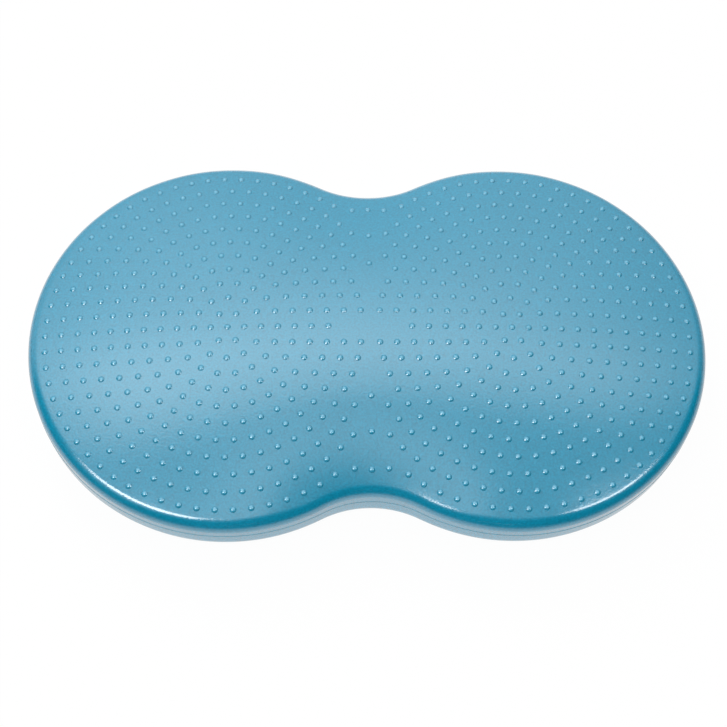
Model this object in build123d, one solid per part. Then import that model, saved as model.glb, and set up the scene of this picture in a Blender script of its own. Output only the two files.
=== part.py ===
"""Peanut-shaped inflatable wobble cushion: a moulded top and base skin welded round the rim, and a valve.

Millimetres, +Z up. The origin is the middle of the flat patch that the base rests on. X runs along the
length and Y across the width. The valve stands in the back wall of the waist, with its axis along Y.
"""

import os

import numpy
from build123d import *

# Plan: two round lobes joined by a waist, all arcs tangent
lobe_radius = 218.0
lobe_offset = 153.0
waist_radius = 110.0

# Skins: the edge is where a crown meets the wall, measured from the seam before the shoulder is rounded
wall = 3.0
top_edge = 23.0
top_rise = 31.0
top_shoulder = 15.0
base_edge = 35.0
base_rise = 20.0
base_shoulder = 23.0
rest_flat = 1.0

# Fineness of the crown surface
crown_harmonics = 10
crown_columns = 21
crown_rows = 13
crown_margin = 6.0
crown_tolerance = 0.05
rim_samples = 90

# Weld round the rim
weld_height = 3.0
weld_proud = 0.8
weld_ledge = 2.0
weld_round = 0.7

# Valve collar in the back wall of the waist
valve_drop = 9.5
collar_radius = 6.0
collar_length = 17.0
collar_bore = 4.4
flange_radius = 7.4
flange_thick = 1.4
seat_depth = 1.0

# Rubber grommet in the collar
grommet_bore = 2.6
grommet_lip_radius = 5.2
grommet_length = 11.0
fit_clearance = 0.05

# Stopper and its seal
stopper_length = 9.0
stopper_taper = 0.8
head_radius = 4.9
head_thick = 1.6
head_round = 0.5
fin_width = 6.0
fin_thick = 1.6
fin_height = 3.2
fin_round = 0.6
seal_section = 0.5
seal_gap = 0.08

# Non-return disc and the cage that keeps it on the collar's inner end
disc_radius = 4.9
disc_thick = 1.2
disc_travel = 2.0
disc_gap = 0.08
cage_wall = 1.0
cage_grip = 3.0
cage_hole = 2.2
cage_side_hole = 1.6

# Worked out from the sizes above
half_length = lobe_offset + lobe_radius
waist_centre = ((lobe_radius + waist_radius) ** 2 - lobe_offset**2) ** 0.5
waist_half_width = waist_centre - waist_radius
seam_z = base_edge + base_rise - rest_flat
weld_half = weld_height / 2
tall = 2 * (top_edge + top_rise + base_edge + base_rise)
valve_z = seam_z - valve_drop
collar_end = waist_half_width + flange_thick - collar_length
lip_face = waist_half_width + flange_thick - seat_depth
head_face = lip_face + 2 * seal_section + 2 * seal_gap

ON_BASE = (Align.CENTER, Align.CENTER, Align.MIN)


def tangent_point(inset):
    """Where the right lobe's arc meets the back waist arc, with the outline drawn in by inset."""
    reach = (lobe_radius - inset) / (lobe_radius + waist_radius)
    return (lobe_offset * (1 - reach), waist_centre * reach)


def outline(inset=0.0):
    """The plan of the cushion, drawn in by inset, as one face of four tangent arcs."""
    x, y = tangent_point(inset)
    end = half_length - inset
    waist = waist_half_width - inset
    arcs = [
        ThreePointArc((x, -y), (end, 0), (x, y)),
        ThreePointArc((x, y), (0, waist), (-x, y)),
        ThreePointArc((-x, y), (-end, 0), (-x, -y)),
        ThreePointArc((-x, -y), (0, -waist), (x, -y)),
    ]
    return make_face(Wire(arcs))


def rim_points():
    """Points along a quarter of the outline, as complex numbers with the half length as unit."""
    lobe_turn = numpy.arctan2(waist_centre, -lobe_offset)
    waist_turn = numpy.arctan2(-waist_centre, lobe_offset)
    lobe = lobe_offset + lobe_radius * numpy.exp(1j * numpy.linspace(0, lobe_turn, rim_samples))
    sweep = numpy.linspace(waist_turn, -numpy.pi / 2, rim_samples // 3)
    waist = 1j * waist_centre + waist_radius * numpy.exp(1j * sweep)
    return numpy.concatenate([lobe, waist]) / half_length


def levelling_terms():
    """Harmonic terms that bring an evenly inflated skin to the same height all round the outline."""
    points = rim_points()
    table = numpy.stack([(points ** (2 * k)).real for k in range(crown_harmonics)], axis=1)
    return numpy.linalg.lstsq(table, abs(points) ** 2, rcond=None)[0]


terms = levelling_terms()


def bulge(x, y):
    """Height of an evenly inflated skin held along the outline: 0 at the outline, 1 at the middle."""
    point = complex(x, y) / half_length
    level = sum(term * (point ** (2 * k)).real for k, term in enumerate(terms))
    return float((level - abs(point) ** 2) / terms[0])


def crown_block(edge, rise):
    """Everything under a crown that starts edge above the seam, wider than the outline."""
    xs = numpy.linspace(-1, 1, crown_columns) * (half_length + crown_margin)
    ys = numpy.linspace(-1, 1, crown_rows) * (lobe_radius + crown_margin)
    heights = [[(x, y, edge + rise * bulge(x, y)) for y in ys] for x in xs]
    skin = Face.make_surface_from_array_of_points(heights, tol=crown_tolerance, min_deg=3, max_deg=5)
    return extrude(skin, amount=tall, dir=(0, 0, -1))


def half_form(edge, rise, shoulder, inset, start):
    """One half of the cushion, solid, from start above the seam to its crown, with a rounded shoulder."""
    walls = Pos(0, 0, start) * extrude(outline(inset), amount=tall / 2)
    form = walls & crown_block(edge - inset, rise)
    corner = [e for e in form.edges() if start + weld_height < e.center().Z]
    rim = [e for e in corner if e.bounding_box().size.Z < edge / 2]
    return fillet(rim, shoulder - inset)


def half_shell(edge, rise, shoulder):
    """One hollow half standing on the weld, with the seam plane at Z 0 and its crown up."""
    outer = half_form(edge, rise, shoulder, 0, weld_half)
    return outer - half_form(edge, rise, shoulder, wall, 0)


def upper_shell():
    """The top skin."""
    return Pos(0, 0, seam_z) * half_shell(top_edge, top_rise, top_shoulder)


def lower_shell():
    """The base skin, crown down, flat where the weight rests and pierced for the valve collar."""
    outer = half_form(base_edge, base_rise, base_shoulder, 0, weld_half)
    inner = half_form(base_edge, base_rise, base_shoulder, wall, 0)
    outer_floor = Pos(0, 0, seam_z) * Cylinder(half_length, tall, align=ON_BASE)
    inner_floor = Pos(0, 0, seam_z - wall) * Cylinder(half_length, tall, align=ON_BASE)
    shell = (outer - outer_floor) - (inner - inner_floor)
    shell = Pos(0, 0, seam_z) * mirror(shell, about=Plane.XY)
    hole = valve_rod(collar_radius + fit_clearance, collar_end, waist_half_width + wall)
    return shell - hole


def seam_weld():
    """The weld between the skins: a rounded rib outside, and a ledge that backs the joint inside."""
    rib = Pos(0, 0, -weld_half) * extrude(outline(-weld_proud), amount=weld_height)
    rib = fillet(rib.edges().filter_by(Plane.XY), weld_round)
    core = Pos(0, 0, -weld_height) * extrude(outline(wall + weld_ledge), amount=2 * weld_height)
    return Pos(0, 0, seam_z) * (rib - core)


def valve_rod(radius, start, end):
    """A round bar on the valve's axis, from start to end along Y."""
    return Plane((0, start, valve_z), z_dir=(0, 1, 0)) * Cylinder(radius, end - start, align=ON_BASE)


def valve_collar():
    """The collar moulded into the wall, its flange shaped to the curve of the waist."""
    face = waist_half_width + flange_thick
    flange = valve_rod(flange_radius, waist_half_width - wall / 2, face)
    waist_wall = extrude(outline(-fit_clearance), amount=tall)
    flange = flange - waist_wall
    flange = fillet(flange.edges().filter_by(GeomType.CIRCLE).sort_by(Axis.Y)[-1:], weld_round)
    collar = flange + valve_rod(collar_radius, collar_end, face - weld_round)
    collar = collar - valve_rod(collar_bore, collar_end, face)
    return collar - valve_rod(grommet_lip_radius + fit_clearance, lip_face - seat_depth, face)


def valve_grommet():
    """The rubber sleeve that grips the stopper, with a lip in the collar's seat."""
    body = valve_rod(collar_bore - fit_clearance, lip_face - grommet_length, lip_face)
    lip = valve_rod(grommet_lip_radius, lip_face - seat_depth, lip_face)
    return body + lip - valve_rod(grommet_bore, collar_end, lip_face)


def valve_stopper():
    """The pull-out stopper: a stem in the grommet, a round head and a fin to pull it by."""
    stem = valve_rod(grommet_bore - fit_clearance, lip_face - stopper_length, head_face)
    stem = chamfer(stem.edges().sort_by(Axis.Y)[0], stopper_taper)
    head = valve_rod(head_radius, head_face, head_face + head_thick)
    head = fillet(head.edges().sort_by(Axis.Y)[-1], head_round)
    top = head_face + head_thick
    fin = Box(fin_width, fin_height * 2, fin_thick)
    fin = fillet(fin.edges().filter_by(Axis.Z), fin_round)
    fin = Pos(0, top, valve_z) * fin & valve_rod(head_radius, head_face, top + fin_height)
    return stem + head + fin


def stopper_seal():
    """The ring that seals under the stopper's head."""
    ring = Torus(grommet_bore + seal_section, seal_section)
    return Plane((0, lip_face + seal_gap + seal_section, valve_z), z_dir=(0, 1, 0)) * ring


def check_disc():
    """The disc that the air inside presses against the collar's inner end."""
    return valve_rod(disc_radius, collar_end - disc_gap - disc_thick, collar_end - disc_gap)


def disc_cage():
    """The cup that snaps on the collar's inner end and lets the disc lift by its travel."""
    inner = collar_radius + fit_clearance
    floor = collar_end - disc_gap - disc_thick - disc_travel - disc_gap
    cup = valve_rod(inner + cage_wall, floor - cage_wall, collar_end + cage_grip)
    cup = cup - valve_rod(inner, floor, collar_end + cage_grip)
    cup = cup - valve_rod(cage_hole, floor - cage_wall, floor)
    side = Pos(0, (floor + collar_end) / 2, valve_z)
    window = Box(tall, (collar_end - floor) - 2 * fit_clearance, cage_side_hole)
    return cup - side * window


def write_parts():
    """Writes each piece to its own STEP file."""
    pieces = [
        upper_shell,
        lower_shell,
        seam_weld,
        valve_collar,
        valve_grommet,
        valve_stopper,
        stopper_seal,
        check_disc,
        disc_cage,
    ]
    os.makedirs("parts", exist_ok=True)
    for piece in pieces:
        solid = piece()
        export_step(solid, f"parts/{piece.__name__}.step")
        print(piece.__name__, round(solid.volume), solid.is_valid)


write_parts()
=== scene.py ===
"""Dresses the two-lobed wobble cushion: skins, grip studs, weld and valve, in a plain white studio."""

import math
from functools import partial

import bmesh
import bpy
import numpy as np
from mathutils import Matrix, Vector


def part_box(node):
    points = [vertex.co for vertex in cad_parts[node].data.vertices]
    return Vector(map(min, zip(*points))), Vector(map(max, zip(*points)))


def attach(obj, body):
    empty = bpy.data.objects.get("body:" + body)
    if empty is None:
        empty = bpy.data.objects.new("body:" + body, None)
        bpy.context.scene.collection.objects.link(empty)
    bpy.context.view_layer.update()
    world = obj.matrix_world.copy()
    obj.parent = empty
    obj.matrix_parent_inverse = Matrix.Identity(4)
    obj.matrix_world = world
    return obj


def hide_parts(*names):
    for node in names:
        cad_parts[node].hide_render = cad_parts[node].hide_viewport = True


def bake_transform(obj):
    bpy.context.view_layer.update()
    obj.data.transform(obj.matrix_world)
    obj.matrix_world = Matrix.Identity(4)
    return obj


bl_info = {
    "name": "Wobble cushion",
    "version": (1, 0, 0),
    "blender": (4, 5, 0),
    "location": "3D View > Sidebar > Cushion",
    "description": "Builds an inflated two-lobed wobble cushion with grip studs, a weld and an air valve",
    "category": "Object",
}

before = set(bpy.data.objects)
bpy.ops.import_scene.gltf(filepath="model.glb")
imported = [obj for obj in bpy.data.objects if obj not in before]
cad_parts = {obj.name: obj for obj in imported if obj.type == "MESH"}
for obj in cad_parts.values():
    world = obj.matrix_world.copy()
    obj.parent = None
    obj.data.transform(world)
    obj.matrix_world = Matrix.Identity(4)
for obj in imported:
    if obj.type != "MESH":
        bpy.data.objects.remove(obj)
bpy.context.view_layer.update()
MM = 0.001

# Height above the seam where the top's crown meets its wall
TOP_EDGE = 23 * MM

# Mesh steps of a skin: rings up its wall and round its shoulder, and how far in the crown's first ones lie
WALL_RINGS = 5
SHOULDER_RINGS = 17
CROWN_INSETS = (2.5 * MM, 6 * MM, 11 * MM)

# Studs between the two lobes' rings, in mm from the middle, along and across. Each is set on all four sides
MIDDLE_STUDS = ((0, 79), (0, 117), (0, 156), (18, 155))

# The vinyl: its darkest and palest shade, how much of that the grain brings as painted shade in its hollows
# and painted light on its crests, how much the slow patches bring, less an offset, how far its roughness
# strays, and how wide the patches are
DARK_SHADE = 0.72
PALE_SHADE = 1.28
GRAIN_PAINTED_SHADE_SHARE = 1.4
PATCH_SHARE = 0.2
SHADE_OFFSET = -0.3
STRAY = 0.03
PATCH = 111 * MM

# Soft glows on the studio's ceiling and walls, placed from what a glossy skin mirrors: east and north part of
# their direction, half width, half depth and strength
STUDIO_GLOWS = {
    "left front": (-0.41, -0.29, 0.2, 0.15, 2.3),
    "right front": (0.49, -0.17, 0.12, 0.11, 1.9),
    "left back": (-0.38, 0.25, 0.18, 0.12, 0.95),
    "right back": (0.42, 0.26, 0.16, 0.11, 0.6),
    "middle": (-0.01, -0.1, 0.09, 0.15, 0.7),
}

# The wide panel of the ceiling, in the same order. It is dimmer in front of an edge that runs at a slant
CEILING_PANEL = (-0.06, 0.23, 0.37, 0.37, 1.44)
PANEL_SLANT = 0.1
PANEL_EDGE = {"From Min": 0.13, "From Max": 0.16, "To Min": 0.55, "To Max": 1.0}

# The backdrop's light grows from the dark front of the room northwards, and falls off to the east. A narrow
# band at the horizon is white behind the cushion and dark in front. The ceiling's glows and panel fade
# towards the horizon
BACKDROP = {"From Min": 0.17, "From Max": 0.37, "To Min": 0.02, "To Max": 0.59}
EAST_SIDE = {"From Min": 0.25, "From Max": 1.0, "To Min": 1.0, "To Max": 0.36}
ABOVE_HORIZON = {"From Min": 0.0, "From Max": 0.3, "To Min": 0.0, "To Max": 1.0}
HORIZON_BAND = {"From Min": 0.015, "From Max": 0.06, "To Min": 1.0, "To Max": 0.0}
HORIZON_DEPTH = {"From Min": -0.1, "From Max": 0.2, "To Min": 0.05, "To Max": 1.0}

# The floor: how far it lies under the base, the middle of its lit sweep and how the light ends round that,
# the glow that shiny pieces mirror, the extra that it bounces, and the glow's share when seen and otherwise
FLOOR_DROP = 0.3 * MM
SWEEP_MIDDLE = (0, 0.35, 0)
LIT_SWEEP = {"From Min": 0.6, "From Max": 1.1, "To Min": 1.0, "To Max": 0.12}
FLOOR_MIRRORED = 0.78
FLOOR_BOUNCE = 1.25
GLOW_SEEN = 0.97
GLOW_SHARE = 0.6


def cad_points(node):
    """Every vertex of a CAD node, in metres."""
    return np.array([v.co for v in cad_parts[node].data.vertices])


def measured_sizes(near=4 * MM):
    """The driving sizes of the plan and the heights, from the frame, with the waist read near the middle."""
    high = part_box("lower_shell")[1]
    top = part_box("upper_shell")[1]
    weld_low, weld_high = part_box("seam_weld")
    shell = cad_points("lower_shell")
    waist = -shell[abs(shell[:, 0]) < near, 1].min()
    radius = high.y
    offset = high.x - radius
    seam = (weld_low.z + weld_high.z) / 2
    return {
        "lobe_radius": radius,
        "lobe_offset": offset,
        "waist_radius": (offset**2 + waist**2 - radius**2) / (2 * (radius - waist)),
        "seam": seam,
        "top": top.z - seam,
        "weld": weld_high.z - weld_low.z,
        "proud": weld_high.x - high.x,
    }


SIZES = measured_sizes()


# ---------------------------------------------------------------- settings


def linear(hex_colour):
    """An sRGB hex value as linear red, green, blue and alpha."""
    channels = [int(hex_colour[i : i + 2], 16) / 255 for i in (1, 3, 5)]
    return [c / 12.92 if c <= 0.04045 else ((c + 0.055) / 1.055) ** 2.4 for c in channels] + [1.0]


def length(label, text, default, least=0.0):
    """A length property in metres."""
    return bpy.props.FloatProperty(
        name=label, description=text, default=default, min=least, unit="LENGTH", precision=4
    )


def degrees(label, text, value):
    """An angle property, given in degrees."""
    return bpy.props.FloatProperty(
        name=label, description=text, default=math.radians(value), unit="ROTATION"
    )


def colour(label, text, hex_colour):
    """A colour property, given as an sRGB hex value."""
    return bpy.props.FloatVectorProperty(
        name=label, description=text, default=linear(hex_colour), size=4, min=0, max=1, subtype="COLOR"
    )


class CushionShape(bpy.types.PropertyGroup):
    """Sizes of the two skins."""

    lobe_radius: length("Lobe radius", "Radius of each round lobe in plan", SIZES["lobe_radius"])
    lobe_offset: length("Lobe offset", "Middle of the cushion to each lobe's centre", SIZES["lobe_offset"])
    waist_radius: length("Waist radius", "Radius of the hollow between the lobes", SIZES["waist_radius"])
    seam_height: length("Seam height", "Height of the weld above the floor", SIZES["seam"])
    wall: length("Wall", "Thickness of the vinyl skin", 3 * MM)
    top_edge: length("Top edge", "Height above the seam where the crown meets the wall", TOP_EDGE)
    top_rise: length("Top rise", "Rise of the crown above its edge", SIZES["top"] - TOP_EDGE)
    top_shoulder: length("Top shoulder", "Radius between wall and crown", 15 * MM)
    base_edge: length("Base edge", "Depth below the seam where the underside meets the wall", 35 * MM)
    base_rise: length("Base rise", "Bulge of the underside below its edge", 20 * MM)
    base_shoulder: length("Base shoulder", "Radius between wall and underside", 23 * MM)
    collar_hole: length("Collar hole", "Radius of the hole that the valve collar fills", 6.05 * MM)
    rim_count: bpy.props.IntProperty(
        name="Rim segments", description="Faces round the rim, a multiple of four", default=480, min=64
    )
    rows: bpy.props.IntProperty(name="Rows", description="Faces across the width", default=84, min=16)


class CushionStuds(bpy.types.PropertyGroup):
    """Sizes and spacing of the grip studs."""

    rings: bpy.props.IntProperty(name="Rings", description="Rings round each lobe", default=11, min=1)
    pitch: length("Pitch", "Distance between rings, and between studs in a ring", 18 * MM)
    radius: length("Radius", "Radius of a stud at its foot", 3.2 * MM)
    height: length("Height", "Height of a stud above the skin", 1.15 * MM)
    sink: length("Sink", "Depth of a stud's closed foot under the skin", 0.1 * MM)
    middle_gap: length("Middle gap", "Half the stud-free strip between the two lobes' rings", 10 * MM)
    bare_length: length("Bare length", "Half length of the bare patch in the middle", 32 * MM)
    bare_width: length("Bare width", "Half width of the bare patch in the middle", 9 * MM)
    waist_length: length("Waist length", "Half length of the ring-free places at the waist", 28 * MM)
    waist_from: length("Waist from", "Distance from the middle at which these places start", 140 * MM)


class CushionFinish(bpy.types.PropertyGroup):
    """Colours and grain."""

    vinyl: colour("Vinyl", "Colour of the moulded skin", "#048AAC")
    # The paler colour on the tops of the studs is a painted highlight
    painted_tip_highlight: colour("Stud tips", "Colour of the paler tips of the studs", "#5AB4D4")
    weld: colour("Weld", "Colour of the weld bead", "#1A8DAA")
    rubber: colour("Rubber", "Colour of the grommet and seal", "#23272A")
    stopper: colour("Stopper", "Colour of the air stopper", "#D3DADB")
    grain: length("Grain", "Width of one cell of the moulded grain", 2.2 * MM)


class CushionStage(bpy.types.PropertyGroup):
    """Camera."""

    azimuth: degrees("Azimuth", "Camera direction round the object", -4.827)
    elevation: degrees("Elevation", "Camera height above the horizon", 64.847)
    roll: degrees("Roll", "Camera roll", 4.405)
    distance: length("Distance", "Camera to the middle of the seam plane", 1.6161)
    lens: bpy.props.FloatProperty(name="Lens", description="Focal length", default=72.38, unit="CAMERA")
    aim_right: length("Aim right", "Aim point beside the middle", -5.78 * MM, least=-1)
    aim_up: length("Aim up", "Aim point above the middle", -18.2 * MM, least=-1)


# ---------------------------------------------------------------- shape


def rim_loop(shape, count):
    """Points and outward directions round the outline, evenly spaced, from the +X end anticlockwise."""
    reach = shape.lobe_radius + shape.waist_radius
    waist_centre = math.sqrt(reach**2 - shape.lobe_offset**2)
    lobe_turn = math.atan2(waist_centre, -shape.lobe_offset)
    waist_turn = math.atan2(shape.lobe_offset, waist_centre)
    lobe_arc = shape.lobe_radius * lobe_turn
    quarter = count // 4
    along = np.linspace(0, lobe_arc + shape.waist_radius * waist_turn, quarter + 1)
    on_lobe = (along <= lobe_arc)[:, None]
    angle = along / shape.lobe_radius
    lobe_out = np.stack([np.cos(angle), np.sin(angle)], axis=1)
    lobe_at = lobe_out * shape.lobe_radius + [shape.lobe_offset, 0]
    swing = waist_turn - (along - lobe_arc) / shape.waist_radius
    waist_out = np.stack([-np.sin(swing), np.cos(swing)], axis=1)
    waist_at = [0, waist_centre] - waist_out * shape.waist_radius
    at = np.where(on_lobe, lobe_at, waist_at)
    out = np.where(on_lobe, lobe_out, waist_out)
    points, normals = [], []
    for x_sign, y_sign, direction in ((1, 1, 1), (-1, 1, -1), (-1, -1, 1), (1, -1, -1)):
        sign = np.array([x_sign, y_sign])
        points.append((at * sign)[::direction][:-1])
        normals.append((out * sign)[::direction][:-1])
    return np.concatenate(points), np.concatenate(normals)


def levelling_terms(shape, count=12, samples=480):
    """Harmonic terms that bring an evenly inflated skin to the same height all round the outline."""
    points, _ = rim_loop(shape, samples)
    plan = (points[:, 0] + 1j * points[:, 1]) / (shape.lobe_offset + shape.lobe_radius)
    table = np.stack([(plan ** (2 * k)).real for k in range(count)], axis=1)
    return np.linalg.lstsq(table, abs(plan) ** 2, rcond=None)[0]


def crown_height(shape, terms, edge, rise, at):
    """Height of an evenly inflated skin above the seam: edge at the outline, and rise more in the middle."""
    plan = (at[:, 0] + 1j * at[:, 1]) / (shape.lobe_offset + shape.lobe_radius)
    level = sum(term * (plan ** (2 * k)).real for k, term in enumerate(terms))
    return edge + rise * ((level - abs(plan) ** 2) / terms[0])


def roll_shoulder(crown, points, out, shoulder, tries=6, step=0.2 * MM):
    """Rolls a ball of the shoulder's radius between wall and crown: how far in it touches the crown, the
    height of its centre and the lean of the crown there."""
    inset = np.full(len(points), shoulder * 0.8)
    for _ in range(tries):
        here = crown(points - out * inset[:, None])
        slope = (crown(points - out * (inset + step)[:, None]) - here) / step
        inset = shoulder * (1 - np.sin(np.arctan(slope)))
    lean = np.arctan(slope)
    middle = crown(points - out * inset[:, None]) - shoulder * np.cos(lean)
    return inset, middle, lean


def wall_rings(crown, points, out, shoulder, start):
    """Rings of points up the wall from height start, round the shoulder and a little way on to the crown."""
    inset, middle, lean = roll_shoulder(crown, points, out, shoulder)
    rings = []
    for share in np.linspace(0, 1, WALL_RINGS)[:-1]:
        rings.append(np.c_[points, start + (middle - start) * share])
    for share in np.linspace(0, 1, SHOULDER_RINGS):
        bend = share * (math.pi / 2 - lean)
        drawn_in = shoulder * (1 - np.cos(bend))
        rings.append(np.c_[points - out * drawn_in[:, None], middle + shoulder * np.sin(bend)])
    for further in CROWN_INSETS:
        inner = points - out * (inset + further)[:, None]
        rings.append(np.c_[inner, crown(inner)])
    return rings


def ring_faces(rings, count, closed=False):
    """Faces between rings of count points each, and from the last ring back to the first if closed."""
    faces = []
    for ring in range(rings if closed else rings - 1):
        a, b = ring * count, (ring + 1) % rings * count
        for i in range(count):
            j = (i + 1) % count
            faces.append((a + i, a + j, b + j, b + i))
    return faces


def crown_grid(crown, border, first, rows):
    """Points and faces that fill the crown inside its border ring, in rows across the width. The border's
    points are numbered from first, and the new ones follow them."""
    count = len(border)
    half = count // 2
    points, columns, faces = [], [[first]], []
    for i in range(1, half):
        back, front = border[i], border[count - i]
        ys = np.linspace(back[1], front[1], rows + 1)[1:-1]
        xs = np.full(len(ys), back[0])
        inner = first + count + len(points)
        points += list(zip(xs, ys, crown(np.c_[xs, ys])))
        columns.append([first + i, *range(inner, inner + len(ys)), first + count - i])
    columns.append([first + half])
    for i in range(half):
        a, b = columns[i], columns[i + 1]
        for row in range(rows):
            if i == 0:
                faces.append((a[0], b[row], b[row + 1]))
            elif i == half - 1:
                faces.append((a[row], b[0], a[row + 1]))
            else:
                faces.append((a[row], b[row], b[row + 1], a[row + 1]))
    return points, faces


def half_surface(shape, edge, rise, shoulder):
    """Outer surface of one half, in heights above the seam, from its wall's foot on the weld to its crown."""
    crown = partial(crown_height, shape, levelling_terms(shape), edge, rise)
    points, out = rim_loop(shape, shape.rim_count)
    rings = wall_rings(crown, points, out, shoulder, SIZES["weld"] / 2)
    first = (len(rings) - 1) * len(points)
    inner, grid = crown_grid(crown, rings[-1], first, shape.rows)
    return np.concatenate([*rings, inner]), ring_faces(len(rings), len(points)) + grid


def mesh_object(name, vertices, faces, flip=False):
    """A smooth-shaded object from points and faces."""
    if flip:
        faces = [face[::-1] for face in faces]
    mesh = bpy.data.meshes.new(name)
    mesh.from_pydata([tuple(map(float, v)) for v in vertices], [], faces)
    mesh.validate()
    mesh.update()
    mesh.shade_smooth()
    obj = bpy.data.objects.new(name, mesh)
    bpy.context.scene.collection.objects.link(obj)
    return obj


def settle(obj):
    """Replaces an object's mesh by its evaluated one and drops its modifiers."""
    bpy.context.view_layer.update()
    graph = bpy.context.evaluated_depsgraph_get()
    final = bpy.data.meshes.new_from_object(obj.evaluated_get(graph))
    obj.modifiers.clear()
    obj.data = final
    return obj


def hollow(obj, wall):
    """Gives an outer surface its wall thickness, drawn inwards."""
    solid = obj.modifiers.new("wall", "SOLIDIFY")
    solid.thickness = wall
    solid.offset = -1
    solid.use_even_offset = True
    settle(obj)
    obj.data.set_sharp_from_angle(angle=math.radians(40))
    return obj


def sweep_rim(shape, profile):
    """Vertices and faces of a closed section swept round the outline. The profile holds (out, up) pairs."""
    points, out = rim_loop(shape, shape.rim_count)
    count = len(points)
    rings = [np.c_[points + out * reach, np.full(count, shape.seam_height + up)] for reach, up in profile]
    return np.concatenate(rings), ring_faces(len(rings), count, closed=True)


# ---------------------------------------------------------------- nodes and materials


def add_node(tree, kind, links=None, **settings):
    """Adds a node with its settings. A link is a socket, a node, for its first output, or a plain value."""
    node = tree.nodes.new(kind)
    for key, value in settings.items():
        setattr(node, key, value)
    for key, value in (links or {}).items():
        if isinstance(value, bpy.types.Node):
            value = value.outputs[0]
        if isinstance(value, bpy.types.NodeSocket):
            tree.links.new(value, node.inputs[key])
        else:
            node.inputs[key].default_value = value
    return node


def empty_tree(owner):
    """Clears the node tree of a material or a world, and gives a function that adds nodes to it."""
    owner.use_nodes = True
    owner.node_tree.nodes.clear()
    return partial(add_node, owner.node_tree)


def shade(paint, factor):
    """A colour made darker or paler."""
    return (*(min(1.0, channel * factor) for channel in paint[:3]), 1.0)


def vinyl_material(name, paint, grain, depth, roughness, painted_tip_highlight=None):
    """Soft PVC, slush moulded: a clear shine over a fine grain, in a colour that is never quite even."""
    material = bpy.data.materials.new(name)
    add = empty_tree(material)
    place = add("ShaderNodeTexCoord").outputs["Object"]
    # The mould's grain frays the highlights. The same grain paints the skin a little darker in its hollows
    # and paler on its crests, as painted shade and painted light. It is drawn coarser than the real grain,
    # which would be too fine to show
    cells = add("ShaderNodeTexNoise", {"Vector": place, "Scale": 1 / grain, "Detail": 2.0})
    # Pigment and polish also drift slowly over the skin, so that a wide dome doesn't look flat
    drift = add("ShaderNodeTexNoise", {"Vector": place, "Scale": 1 / PATCH, "Detail": 3.0})
    slow = add("ShaderNodeMath", {0: drift, 1: PATCH_SHARE, 2: SHADE_OFFSET}, operation="MULTIPLY_ADD")
    # Painted shade in the grain's hollows and painted light on its crests, over slow patches of colour
    uneven_and_grain_shade = add("ShaderNodeMath", {0: cells, 1: GRAIN_PAINTED_SHADE_SHARE, 2: slow}, operation="MULTIPLY_ADD")
    # Sockets 6, 7 and 2 of a Mix node are its two colours and the mixed one
    shades = {"Factor": uneven_and_grain_shade, 6: shade(paint, DARK_SHADE), 7: shade(paint, PALE_SHADE)}
    pigment = add("ShaderNodeMix", shades, data_type="RGBA").outputs[2]
    if painted_tip_highlight:
        # The tops of the studs are painted paler than the skin round them, as a painted highlight where the
        # lamps glint on them
        tip = add("ShaderNodeAttribute", attribute_name="tip").outputs["Fac"]
        pigment = add("ShaderNodeMix", {"Factor": tip, 6: pigment, 7: painted_tip_highlight}, data_type="RGBA").outputs[2]
    span = {"Value": drift, "To Min": roughness - STRAY, "To Max": roughness + STRAY}
    polish = add("ShaderNodeMapRange", span)
    bump = add("ShaderNodeBump", {"Height": cells, "Distance": depth})
    # The shine of the surface itself is the coat, smoother than the skin under it
    shader = add(
        "ShaderNodeBsdfPrincipled",
        {
            "Base Color": pigment,
            "Roughness": polish,
            "Normal": bump,
            "IOR": 1.6,
            "Coat Weight": 1.0,
            "Coat IOR": 1.8,
            "Coat Roughness": 0.08,
            "Coat Normal": bump,
        },
    )
    add("ShaderNodeOutputMaterial", {"Surface": shader})
    return material


def plain_material(name, paint, grain, depth, roughness):
    """Moulded rubber or hard plastic: one even colour, with a fine grain that softens its highlights."""
    material = bpy.data.materials.new(name)
    add = empty_tree(material)
    place = add("ShaderNodeTexCoord").outputs["Object"]
    cells = add("ShaderNodeTexNoise", {"Vector": place, "Scale": 1 / grain, "Detail": 3.0})
    shades = {"Factor": cells, 6: shade(paint, 0.92), 7: shade(paint, 1.06)}
    pigment = add("ShaderNodeMix", shades, data_type="RGBA").outputs[2]
    bump = add("ShaderNodeBump", {"Height": cells, "Distance": depth})
    links = {"Base Color": pigment, "Roughness": roughness, "Normal": bump}
    add("ShaderNodeOutputMaterial", {"Surface": add("ShaderNodeBsdfPrincipled", links)})
    return material


def skin_vinyl():
    """The vinyl of both skins, made once."""
    finish = bpy.context.scene.cushion_finish
    name = "soft_PVC_vinyl_moulded"
    made = bpy.data.materials.get(name)
    return made or vinyl_material(name, finish.vinyl, finish.grain, depth=0.1 * MM, roughness=0.22)


def paint_piece(obj, material):
    """Gives a piece its one material."""
    obj.data.materials.clear()
    obj.data.materials.append(material)


# ---------------------------------------------------------------- pieces


class CUSHION_OT_top_skin(bpy.types.Operator):
    """Makes the domed top skin"""

    bl_idname = "cushion.top_skin"
    bl_label = "Top skin"

    def execute(self, context):
        shape = context.scene.cushion_shape
        points, faces = half_surface(shape, shape.top_edge, shape.top_rise, shape.top_shoulder)
        points[:, 2] += shape.seam_height
        skin = hollow(mesh_object("top_skin", points, faces), shape.wall)
        paint_piece(skin, skin_vinyl())
        press_with_top(skin)
        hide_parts("upper_shell")
        return {"FINISHED"}


def press_with_top(piece):
    """Bakes a piece's placement into its mesh."""
    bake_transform(piece)


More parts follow.
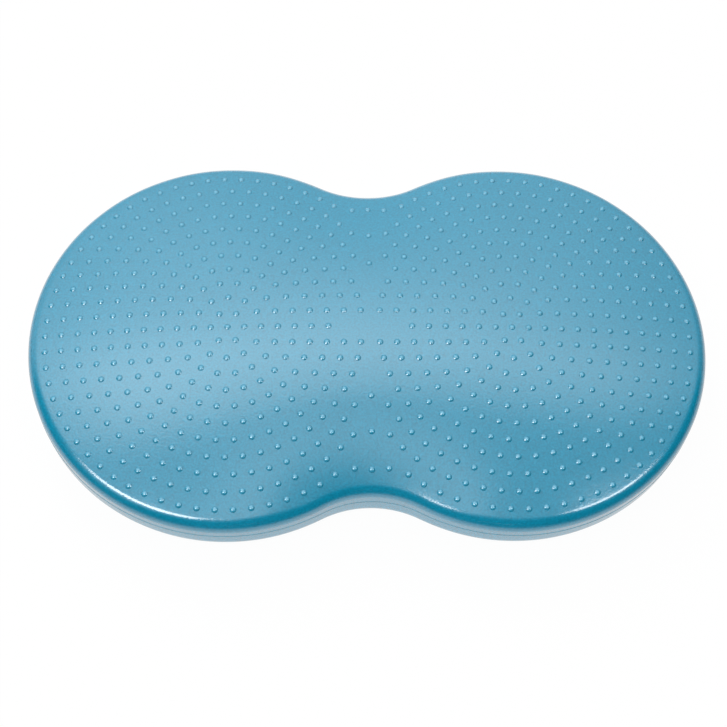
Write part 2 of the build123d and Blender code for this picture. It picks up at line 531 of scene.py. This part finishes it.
class CUSHION_OT_base_skin(bpy.types.Operator):
    """Makes the base skin, with its resting flat and the hole for the valve collar"""

    bl_idname = "cushion.base_skin"
    bl_label = "Base skin"

    def execute(self, context):
        shape = context.scene.cushion_shape
        points, faces = half_surface(shape, shape.base_edge, shape.base_rise, shape.base_shoulder)
        points[:, 2] = np.maximum(shape.seam_height - points[:, 2], 0)
        skin = hollow(mesh_object("base_skin", points, faces, flip=True), shape.wall)
        pierce_for_collar(skin, shape.collar_hole)
        paint_piece(skin, skin_vinyl())
        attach(skin, "base")
        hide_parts("lower_shell")
        return {"FINISHED"}


def pierce_for_collar(skin, radius, reach=30 * MM):
    """Cuts the round hole that the valve collar stands in. The cutter reaches right through the wall."""
    low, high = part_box("valve_collar")
    form = bmesh.new()
    bmesh.ops.create_cone(form, cap_ends=True, segments=48, radius1=radius, radius2=radius, depth=reach)
    bmesh.ops.rotate(form, verts=form.verts, matrix=Matrix.Rotation(math.pi / 2, 3, "X"))
    bmesh.ops.translate(form, verts=form.verts, vec=(low + high) / 2)
    mesh = bpy.data.meshes.new("cutter")
    form.to_mesh(mesh)
    form.free()
    cutter = bpy.data.objects.new("cutter", mesh)
    bpy.context.scene.collection.objects.link(cutter)
    cut = skin.modifiers.new("hole", "BOOLEAN")
    cut.operation = "DIFFERENCE"
    cut.solver = "EXACT"
    cut.object = cutter
    settle(skin)
    bpy.data.objects.remove(cutter)


class CUSHION_OT_weld(bpy.types.Operator):
    """Makes the weld bead round the rim"""

    bl_idname = "cushion.weld"
    bl_label = "Weld bead"

    def execute(self, context):
        shape = context.scene.cushion_shape
        finish = context.scene.cushion_finish
        vertices, faces = sweep_rim(shape, weld_section(shape.wall))
        bead = mesh_object("weld_bead", vertices, faces)
        bead.data.set_sharp_from_angle(angle=math.radians(50))
        name = "soft_PVC_weld_bead"
        vinyl = vinyl_material(name, finish.weld, finish.grain, depth=0.03 * MM, roughness=0.45)
        paint_piece(bead, vinyl)
        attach(bead, "base")
        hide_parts("seam_weld")
        return {"FINISHED"}


def weld_section(wall, ledge=0.2 * MM, overlap=2 * MM, crest=0.5, rib=0.98, steps=9):
    """Section of the weld, as (out, up) pairs: a thin pressed rib between two ledges just inside the wall's
    face. The rib runs out flat at its edges. Its crest and its height are shares of the full bead's."""
    half = SIZES["weld"] / 2
    inner = -(wall + overlap)
    section = [(-ledge, -half)]
    for angle in np.linspace(-math.pi / 2, math.pi / 2, steps):
        out = crest * SIZES["proud"] * math.cos(angle) ** 2
        section.append((out, rib * half * math.sin(angle)))
    return section + [(-ledge, half), (inner, half), (inner, -half)]


class CUSHION_OT_studs(bpy.types.Operator):
    """Sets the grip studs in rings round each lobe of the top"""

    bl_idname = "cushion.studs"
    bl_label = "Grip studs"

    def execute(self, context):
        studs = context.scene.cushion_studs
        finish = context.scene.cushion_finish
        name = "soft_PVC_vinyl_studs"
        # The studs' vinyl carries a painted highlight on their tops
        vinyl = vinyl_material(
            name, finish.vinyl, finish.grain, depth=0.02 * MM, roughness=0.22, painted_tip_highlight=finish.painted_tip_highlight
        )
        lengths = {
            "Lobe offset": context.scene.cushion_shape.lobe_offset,
            "Pitch": studs.pitch,
            "Radius": studs.radius,
            "Height": studs.height,
            "Sink": studs.sink,
            "Middle gap": studs.middle_gap,
            "Bare length": studs.bare_length,
            "Bare width": studs.bare_width,
            "Waist length": studs.waist_length,
            "Waist from": studs.waist_from,
        }
        seeds = mesh_object("grip_studs", middle_studs(), [])
        grow = seeds.modifiers.new("rings", "NODES")
        grow.node_group = stud_tree(lengths)
        given = {"Skin": bpy.data.objects["top_skin"], "Material": vinyl, "Rings": studs.rings}
        for label, value in {**given, **lengths}.items():
            set_input(grow, label, value)
        settle(seeds)
        press_with_top(seeds)
        return {"FINISHED"}


def middle_studs():
    """Places of the studs on the middle line and at the waist, where the two lobes' rings meet."""
    sides = (-1, 1)
    spots = {(x * a * MM, y * b * MM, 0.0) for x, y in MIDDLE_STUDS for a in sides for b in sides}
    return sorted(spots)


def set_input(modifier, label, value):
    """Sets a node modifier's input by its label."""
    for item in modifier.node_group.interface.items_tree:
        if item.item_type == "SOCKET" and item.in_out == "INPUT" and item.name == label:
            modifier[item.identifier] = value
            return
    raise RuntimeError(f"the node tree has no input named {label}")


def stud_tree(lengths):
    """Sets studs in rings round both lobes, and one on each given point, square on the skin. Its inputs are
    the skin, the material, the number of rings and the named lengths."""
    tree = bpy.data.node_groups.new("stud_rings", "GeometryNodeTree")
    inputs = {"Geometry": "Geometry", "Skin": "Object", "Material": "Material", "Rings": "Int"}
    inputs.update(dict.fromkeys(lengths, "Float"))
    for label, kind in inputs.items():
        tree.interface.new_socket(label, in_out="INPUT", socket_type=f"NodeSocket{kind}")
    tree.interface.new_socket("Geometry", in_out="OUTPUT", socket_type="NodeSocketGeometry")
    add = partial(add_node, tree)
    given = add("NodeGroupInput").outputs
    middle = add("GeometryNodeMeshToPoints", {"Mesh": given["Geometry"]})
    both = add("GeometryNodeJoinGeometry")
    tree.links.new(ring_points(add, given).outputs[0], both.inputs[0])
    tree.links.new(middle.outputs[0], both.inputs[0])
    seated, upright = seat_on_skin(add, given, both)
    grown = add(
        "GeometryNodeInstanceOnPoints",
        {"Points": seated, "Instance": stud_form(add, given), "Rotation": upright},
    )
    whole = add("GeometryNodeRealizeInstances", {"Geometry": grown})
    smooth = add("GeometryNodeSetShadeSmooth", {"Geometry": whole})
    coated = add("GeometryNodeSetMaterial", {"Geometry": smooth, "Material": given["Material"]})
    add("NodeGroupOutput", {0: coated})
    return tree


def ring_points(add, given):
    """Points in rings a pitch apart round both lobes, six more in each ring than in the one inside it."""
    # Even and odd numbers go to the right and to the left lobe
    index = add("GeometryNodeInputIndex")
    pair = add("ShaderNodeMath", {0: index, 1: 2.0}, operation="DIVIDE")
    number = add("ShaderNodeMath", {0: pair}, operation="FLOOR")
    odd = add("ShaderNodeMath", {0: index, 1: 2.0}, operation="MODULO")
    side = add("ShaderNodeMath", {0: odd, 1: -2.0, 2: 1.0}, operation="MULTIPLY_ADD")
    # Number n of a stud gives its ring k = floor((3 + sqrt(12 n - 3)) / 6) and its place in that ring. The
    # thousandth more than 3 keeps rounding from moving a ring's first stud into the ring inside it
    square = add("ShaderNodeMath", {0: number, 1: 12.0, 2: -3.0}, operation="MULTIPLY_ADD")
    square = add("ShaderNodeMath", {0: square, 1: 0.0}, operation="MAXIMUM")
    root = add("ShaderNodeMath", {0: square}, operation="SQRT")
    sixth = add("ShaderNodeMath", {0: root, 1: 3.001}, operation="ADD")
    sixth = add("ShaderNodeMath", {0: sixth, 1: 6.0}, operation="DIVIDE")
    ring = add("ShaderNodeMath", {0: sixth}, operation="FLOOR")
    inside = add("ShaderNodeMath", {0: ring, 1: 1.0}, operation="SUBTRACT")
    before = add("ShaderNodeMath", {0: ring, 1: inside}, operation="MULTIPLY")
    before = add("ShaderNodeMath", {0: before, 1: 3.0, 2: 1.0}, operation="MULTIPLY_ADD")
    place = add("ShaderNodeMath", {0: number, 1: before}, operation="SUBTRACT")
    sixths = add("ShaderNodeMath", {0: place, 1: math.pi / 3}, operation="MULTIPLY")
    at_least_one = add("ShaderNodeMath", {0: ring, 1: 1.0}, operation="MAXIMUM")
    angle = add("ShaderNodeMath", {0: sixths, 1: at_least_one}, operation="DIVIDE")
    cosine = add("ShaderNodeMath", {0: angle}, operation="COSINE")
    sine = add("ShaderNodeMath", {0: angle}, operation="SINE")
    reach = add("ShaderNodeMath", {0: ring, 1: given["Pitch"]}, operation="MULTIPLY")
    links = {0: reach, 1: cosine, 2: given["Lobe offset"]}
    along = add("ShaderNodeMath", links, operation="MULTIPLY_ADD")
    across = add("ShaderNodeMath", {0: reach, 1: sine}, operation="MULTIPLY")
    sided = add("ShaderNodeMath", {0: along, 1: side}, operation="MULTIPLY")
    spot = add("ShaderNodeCombineXYZ", {"X": sided, "Y": across})
    # Rings of 6 k studs and the one in the middle, on both lobes
    more = add("ShaderNodeMath", {0: given["Rings"], 1: 1.0}, operation="ADD")
    last = add("ShaderNodeMath", {0: given["Rings"], 1: more}, operation="MULTIPLY")
    total = add("ShaderNodeMath", {0: last, 1: 6.0, 2: 2.0}, operation="MULTIPLY_ADD")
    cloud = add("GeometryNodePoints", {"Count": total, "Position": spot})
    links = {"Geometry": cloud, "Selection": left_out(add, given, along, across)}
    return add("GeometryNodeDeleteGeometry", links, domain="POINT")


def left_out(add, given, along, across):
    """True where no ring stud stands: on the middle strip, on the bare patch and at the waist."""
    aside = add("ShaderNodeMath", {0: across}, operation="ABSOLUTE")
    clear = add("ShaderNodeMath", {0: along, 1: given["Middle gap"]}, operation="GREATER_THAN")
    short = add("ShaderNodeMath", {0: along, 1: given["Bare length"]}, operation="LESS_THAN")
    narrow = add("ShaderNodeMath", {0: aside, 1: given["Bare width"]}, operation="LESS_THAN")
    bare = add("ShaderNodeMath", {0: short, 1: narrow}, operation="MULTIPLY")
    near = add("ShaderNodeMath", {0: along, 1: given["Waist length"]}, operation="LESS_THAN")
    far = add("ShaderNodeMath", {0: aside, 1: given["Waist from"]}, operation="GREATER_THAN")
    waist = add("ShaderNodeMath", {0: near, 1: far}, operation="MULTIPLY")
    wanted = add("ShaderNodeMath", {0: clear, 1: bare}, operation="SUBTRACT")
    wanted = add("ShaderNodeMath", {0: wanted, 1: waist}, operation="SUBTRACT")
    return add("ShaderNodeMath", {0: wanted, 1: 0.5}, operation="LESS_THAN")


def seat_on_skin(add, given, points):
    """Drops the points straight down on the skin, and gives the turn that stands a stud square on it."""
    skin = add("GeometryNodeObjectInfo", {"Object": given["Skin"]}, transform_space="ORIGINAL")
    form = skin.outputs["Geometry"]
    position = add("GeometryNodeInputPosition")
    above = add("ShaderNodeVectorMath", {0: position, 1: (0, 0, 1)}, operation="ADD")
    down = {"Source Position": above, "Ray Direction": (0, 0, -1), "Ray Length": 2.0}
    landed = add("GeometryNodeRaycast", {"Target Geometry": form, **down}).outputs["Hit Position"]
    seated = add("GeometryNodeSetPosition", {"Geometry": points, "Position": landed})
    normal = add(
        "GeometryNodeSampleNearestSurface",
        {"Mesh": form, "Value": add("GeometryNodeInputNormal"), "Sample Position": position},
        data_type="FLOAT_VECTOR",
    )
    return seated, add("FunctionNodeAlignRotationToVector", {"Vector": normal}, axis="Z")


def stud_form(add, given):
    """One stud: a low round knob whose foot runs out into the skin, closed underneath."""
    cone = add(
        "GeometryNodeMeshCone",
        {"Vertices": 12, "Side Segments": 4, "Radius Top": 0.0, "Radius Bottom": 1.0, "Depth": 1.0},
        fill_type="NGON",
    )
    position = add("GeometryNodeInputPosition")
    x, y, z = add("ShaderNodeSeparateXYZ", {0: position}).outputs
    # The rings of the cone are spread to 0, 0.38, 0.66, 0.91 and 1.15 of the stud's radius
    share = add("ShaderNodeMath", {0: 1.0, 1: z}, operation="SUBTRACT")
    share = add("ShaderNodeMath", {0: share, 1: 0.0001}, operation="MAXIMUM")
    spread = add("ShaderNodeMath", {0: share, 1: 0.8}, operation="POWER")
    spread = add("ShaderNodeMath", {0: spread, 1: 1.15}, operation="MULTIPLY")
    out = add("ShaderNodeMath", {0: spread, 1: given["Radius"]}, operation="MULTIPLY")
    wide = add("ShaderNodeMath", {0: out, 1: share}, operation="DIVIDE")
    # A spherical cap: its ball's radius is (radius squared + height squared) / (2 height)
    radius = add("ShaderNodeMath", {0: given["Radius"], 1: given["Radius"]}, operation="MULTIPLY")
    links = {0: given["Height"], 1: given["Height"], 2: radius}
    ball = add("ShaderNodeMath", links, operation="MULTIPLY_ADD")
    ball = add("ShaderNodeMath", {0: ball, 1: given["Height"]}, operation="DIVIDE")
    ball = add("ShaderNodeMath", {0: ball, 1: 0.5}, operation="MULTIPLY")
    ball_square = add("ShaderNodeMath", {0: ball, 1: ball}, operation="MULTIPLY")
    out_square = add("ShaderNodeMath", {0: out, 1: out}, operation="MULTIPLY")
    rise = add("ShaderNodeMath", {0: ball_square, 1: out_square}, operation="SUBTRACT")
    rise = add("ShaderNodeMath", {0: rise}, operation="SQRT")
    cap = add("ShaderNodeMath", {0: rise, 1: ball}, operation="SUBTRACT")
    cap = add("ShaderNodeMath", {0: cap, 1: given["Height"]}, operation="ADD")
    sunk = add("ShaderNodeMath", {0: given["Sink"], 1: -1.0}, operation="MULTIPLY")
    foot = add("ShaderNodeMath", {0: cap, 1: sunk}, operation="MAXIMUM")
    across = add("ShaderNodeMath", {0: x, 1: wide}, operation="MULTIPLY")
    along = add("ShaderNodeMath", {0: y, 1: wide}, operation="MULTIPLY")
    shaped = add("ShaderNodeCombineXYZ", {"X": across, "Y": along, "Z": foot})
    # The material reads how near a point is to the top, and the power keeps the painted highlight high up
    height = add("ShaderNodeMath", {0: z, 1: 1.6}, operation="POWER")
    highlight_marked = add(
        "GeometryNodeStoreNamedAttribute",
        {"Geometry": cone.outputs["Mesh"], "Name": "tip", "Value": height},
        data_type="FLOAT",
        domain="POINT",
    )
    return add("GeometryNodeSetPosition", {"Geometry": highlight_marked, "Position": shaped})


class CUSHION_OT_valve(bpy.types.Operator):
    """Gives the valve's pieces their finish"""

    bl_idname = "cushion.valve"
    bl_label = "Valve"

    def execute(self, context):
        finish = context.scene.cushion_finish
        name = "soft_PVC_collar_moulded"
        collar = vinyl_material(name, finish.weld, finish.grain, depth=0.02 * MM, roughness=0.36)
        rubber = plain_material(
            "nitrile_rubber_moulded", finish.rubber, grain=0.4 * MM, depth=0.02 * MM, roughness=0.6
        )
        hard = plain_material(
            "polypropylene_moulded", finish.stopper, grain=0.6 * MM, depth=0.01 * MM, roughness=0.35
        )
        for node, material in (
            ("valve_collar", collar),
            ("valve_grommet", rubber),
            ("stopper_seal", rubber),
            ("check_disc", rubber),
            ("valve_stopper", hard),
            ("disc_cage", hard),
        ):
            paint_piece(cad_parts[node], material)
        return {"FINISHED"}


# ---------------------------------------------------------------- stage


class CUSHION_OT_stage(bpy.types.Operator):
    """Makes the white floor, the studio light and the camera"""

    bl_idname = "cushion.stage"
    bl_label = "Stage"

    def execute(self, context):
        floor_piece()
        studio_world()
        studio_lamps()
        studio_camera(context.scene.cushion_stage)
        context.scene.view_settings.view_transform = "Standard"
        return {"FINISHED"}


def floor_piece():
    """A wide white floor with a faint contact shadow. It is clear from below, so that the base shows."""
    under = (0, 0, -FLOOR_DROP)
    bpy.ops.mesh.primitive_circle_add(vertices=96, radius=12, fill_type="NGON", location=under)
    floor = bpy.context.object
    floor.name = "floor"
    material = bpy.data.materials.new("matt_white_floor")
    add = empty_tree(material)
    path = add("ShaderNodeLightPath").outputs
    place = add("ShaderNodeTexCoord").outputs["Object"]
    # The lit part of the sweep ends a little in front of the cushion
    reach = add("ShaderNodeVectorMath", {0: place, 1: SWEEP_MIDDLE}, operation="DISTANCE")
    links = {"Value": reach.outputs["Value"], **LIT_SWEEP}
    lit = add("ShaderNodeMapRange", links, interpolation_type="SMOOTHSTEP")
    links = {0: path["Is Diffuse Ray"], 1: FLOOR_BOUNCE, 2: FLOOR_MIRRORED}
    level = add("ShaderNodeMath", links, operation="MULTIPLY_ADD")
    level = add("ShaderNodeMath", {0: lit, 1: level}, operation="MULTIPLY")
    # Plain white for the camera, and the lit sweep's own level for every other ray
    strength = add("ShaderNodeMath", {0: path["Is Camera Ray"], 1: level}, operation="MAXIMUM")
    glow = add("ShaderNodeEmission", {"Color": (1, 1, 1, 1), "Strength": strength})
    # Seen straight or mirrored the floor is nearly all glow, and the rest of it takes the shadow
    links = {0: path["Is Camera Ray"], 1: path["Is Glossy Ray"]}
    seen = add("ShaderNodeMath", links, operation="MAXIMUM")
    seen = add("ShaderNodeMath", {0: seen, 1: path["Is Transmission Ray"]}, operation="MAXIMUM")
    share = add("ShaderNodeMath", {0: seen, 1: GLOW_SEEN}, operation="MULTIPLY")
    share = add("ShaderNodeMath", {0: share, 1: GLOW_SHARE}, operation="MAXIMUM")
    paint = add("ShaderNodeBsdfDiffuse", {"Color": (0.9, 0.9, 0.9, 1)})
    above = add("ShaderNodeMixShader", {0: share, 1: paint, 2: glow})
    clear = add("ShaderNodeBsdfTransparent", {"Color": (1, 1, 1, 1)})
    below = add("ShaderNodeNewGeometry").outputs["Backfacing"]
    sided = add("ShaderNodeMixShader", {0: below, 1: above, 2: clear})
    add("ShaderNodeOutputMaterial", {"Surface": sided})
    floor.data.materials.append(material)


def studio_glow(add, direction, at_east, at_north, wide, deep, strength):
    """One soft glow of the studio, half as strong a half width from its middle."""
    away = add("ShaderNodeVectorMath", {0: direction, 1: (at_east, at_north, 0)}, operation="SUBTRACT")
    away = add("ShaderNodeVectorMath", {0: away, 1: (1 / wide, 1 / deep, 0)}, operation="MULTIPLY")
    far = add("ShaderNodeVectorMath", {0: away, 1: away}, operation="DOT_PRODUCT").outputs["Value"]
    fade = add("ShaderNodeMath", {0: 0.5, 1: far}, operation="POWER")
    return add("ShaderNodeMath", {0: fade, 1: strength}, operation="MULTIPLY")


def studio_world():
    """A studio with a white backdrop behind the cushion, a lit ceiling above it and a dark room in front."""
    world = bpy.data.worlds.new("studio")
    bpy.context.scene.world = world
    add = empty_tree(world)
    direction = add("ShaderNodeTexCoord").outputs["Generated"]
    east, north, up = add("ShaderNodeSeparateXYZ", {0: direction}).outputs
    backdrop = add("ShaderNodeMapRange", {"Value": north, **BACKDROP}, interpolation_type="SMOOTHSTEP")
    side = add("ShaderNodeMapRange", {"Value": east, **EAST_SIDE}, interpolation_type="SMOOTHSTEP")
    backdrop = add("ShaderNodeMath", {0: backdrop, 1: side}, operation="MULTIPLY")

    slant = add("ShaderNodeMath", {0: east, 1: -PANEL_SLANT, 2: north}, operation="MULTIPLY_ADD")
    edge = add("ShaderNodeMapRange", {"Value": slant, **PANEL_EDGE}, interpolation_type="SMOOTHSTEP")
    panel = studio_glow(add, direction, *CEILING_PANEL)
    glows = add("ShaderNodeMath", {0: panel, 1: edge}, operation="MULTIPLY")
    for spot in STUDIO_GLOWS.values():
        glow = studio_glow(add, direction, *spot)
        glows = add("ShaderNodeMath", {0: glows, 1: glow}, operation="ADD")
    ceiling = add("ShaderNodeMapRange", {"Value": up, **ABOVE_HORIZON}, interpolation_type="SMOOTHSTEP")
    level = add("ShaderNodeMath", {0: glows, 1: ceiling, 2: backdrop}, operation="MULTIPLY_ADD")

    height = add("ShaderNodeMath", {0: up}, operation="ABSOLUTE")
    band = add("ShaderNodeMapRange", {"Value": height, **HORIZON_BAND}, interpolation_type="SMOOTHSTEP")
    depth = add("ShaderNodeMapRange", {"Value": north, **HORIZON_DEPTH}, interpolation_type="SMOOTHSTEP")
    horizon = add("ShaderNodeMath", {0: band, 1: depth}, operation="MULTIPLY")
    level = add("ShaderNodeMath", {0: level, 1: horizon}, operation="MAXIMUM")
    # The studio's light is a touch cool
    light = add("ShaderNodeBackground", {"Color": (0.97, 1, 1, 1), "Strength": level})
    # The camera and clear pieces see this world plain white. Shiny pieces mirror the studio's own light, in
    # which only the horizon at the back is white
    path = add("ShaderNodeLightPath").outputs
    white = add("ShaderNodeBackground", {"Color": (1, 1, 1, 1), "Strength": 1.0})
    links = {0: path["Is Camera Ray"], 1: path["Is Transmission Ray"]}
    seen = add("ShaderNodeMath", links, operation="MAXIMUM")
    mixed = add("ShaderNodeMixShader", {0: seen, 1: light, 2: white})
    add("ShaderNodeOutputWorld", {"Surface": mixed})


def softbox(name, tilt, azimuth, distance, size, radiance, runs=(1, 0), mirrored=True):
    """A lamp aimed at the cushion. Its tilt is from straight up, and runs says where its long side runs."""
    lean, swing = math.radians(tilt), math.radians(azimuth)
    way = Vector((math.sin(lean) * math.cos(swing), math.sin(lean) * math.sin(swing), math.cos(lean)))
    data = bpy.data.lights.new(name, "AREA")
    data.shape = "RECTANGLE"
    data.size, data.size_y = size
    # The power that gives the lamp's face this radiance
    data.energy = radiance * math.pi * size[0] * size[1]
    lamp = bpy.data.objects.new(name, data)
    lamp.location = way * distance + Vector((0, 0, SIZES["seam"]))
    along = Vector((*runs, 0))
    along = (along - way * along.dot(way)).normalized()
    lamp.rotation_euler = Matrix((along, way.cross(along), way)).transposed().to_euler()
    lamp.visible_glossy = mirrored
    bpy.context.scene.collection.objects.link(lamp)


def studio_lamps():
    """Two softboxes, above left and right, and two fills, behind and in front, that give no highlight."""
    side = partial(softbox, distance=5)
    side("left_softbox", tilt=30.4, azimuth=215.3, size=(2.7, 1.3), radiance=5.6, runs=(0.9, -0.35))
    side("right_softbox", tilt=30.7, azimuth=-19, size=(1.5, 0.85), radiance=5.4, runs=(0.87, 0.5))
    fill = partial(softbox, mirrored=False)
    fill("back_fill", tilt=50, azimuth=112, distance=6, size=(2, 2), radiance=8.8)
    fill("front_fill", tilt=70, azimuth=-90, distance=5, size=(2, 1), radiance=6)


def studio_camera(stage):
    """The camera, rolled a little, aimed near the middle of the seam plane."""
    flat = math.cos(stage.elevation)
    east, south = math.sin(stage.azimuth) * flat, math.cos(stage.azimuth) * flat
    back = Vector((east, -south, math.sin(stage.elevation)))
    level = Vector((math.cos(stage.azimuth), math.sin(stage.azimuth), 0))
    rise = level.cross(-back)
    right = level * math.cos(stage.roll) + rise * math.sin(stage.roll)
    up = rise * math.cos(stage.roll) - level * math.sin(stage.roll)
    middle = Vector((0, 0, SIZES["seam"]))
    eye = middle + back * stage.distance
    aim = middle + right * stage.aim_right + up * stage.aim_up
    away = (eye - aim).normalized()
    right = up.cross(away).normalized()
    facing = Matrix((right, away.cross(right), away)).transposed()
    data = bpy.data.cameras.new("camera")
    data.lens = stage.lens
    data.sensor_width = 36
    camera = bpy.data.objects.new("camera", data)
    camera.matrix_world = Matrix.Translation(eye) @ facing.to_4x4()
    bpy.context.scene.collection.objects.link(camera)
    bpy.context.scene.camera = camera


# ---------------------------------------------------------------- add-on


class CUSHION_PT_panel(bpy.types.Panel):
    """Lists the cushion's pieces and their settings"""

    bl_label = "Wobble cushion"
    bl_idname = "CUSHION_PT_panel"
    bl_space_type = "VIEW_3D"
    bl_region_type = "UI"
    bl_category = "Cushion"

    def draw(self, context):
        for operator in OPERATORS:
            self.layout.operator(operator.bl_idname)
        for name, group in SETTINGS.items():
            self.layout.label(text=group.__doc__)
            for setting in group.__annotations__:
                self.layout.prop(getattr(context.scene, name), setting)


SETTINGS = {
    "cushion_shape": CushionShape,
    "cushion_studs": CushionStuds,
    "cushion_finish": CushionFinish,
    "cushion_stage": CushionStage,
}
OPERATORS = (
    CUSHION_OT_top_skin,
    CUSHION_OT_base_skin,
    CUSHION_OT_weld,
    CUSHION_OT_studs,
    CUSHION_OT_valve,
    CUSHION_OT_stage,
)


def register():
    """Adds the settings, the operators and the panel."""
    for name, group in SETTINGS.items():
        bpy.utils.register_class(group)
        setattr(bpy.types.Scene, name, bpy.props.PointerProperty(type=group))
    for part in (*OPERATORS, CUSHION_PT_panel):
        bpy.utils.register_class(part)


def unregister():
    """Takes them out again."""
    for part in (CUSHION_PT_panel, *reversed(OPERATORS)):
        bpy.utils.unregister_class(part)
    for name, group in SETTINGS.items():
        delattr(bpy.types.Scene, name)
        bpy.utils.unregister_class(group)


def main():
    """Builds the dressed cushion and its stage."""
    register()
    bpy.ops.cushion.top_skin()
    bpy.ops.cushion.base_skin()
    bpy.ops.cushion.weld()
    bpy.ops.cushion.studs()
    bpy.ops.cushion.valve()
    bpy.ops.cushion.stage()


if __name__ == "__main__":
    main()
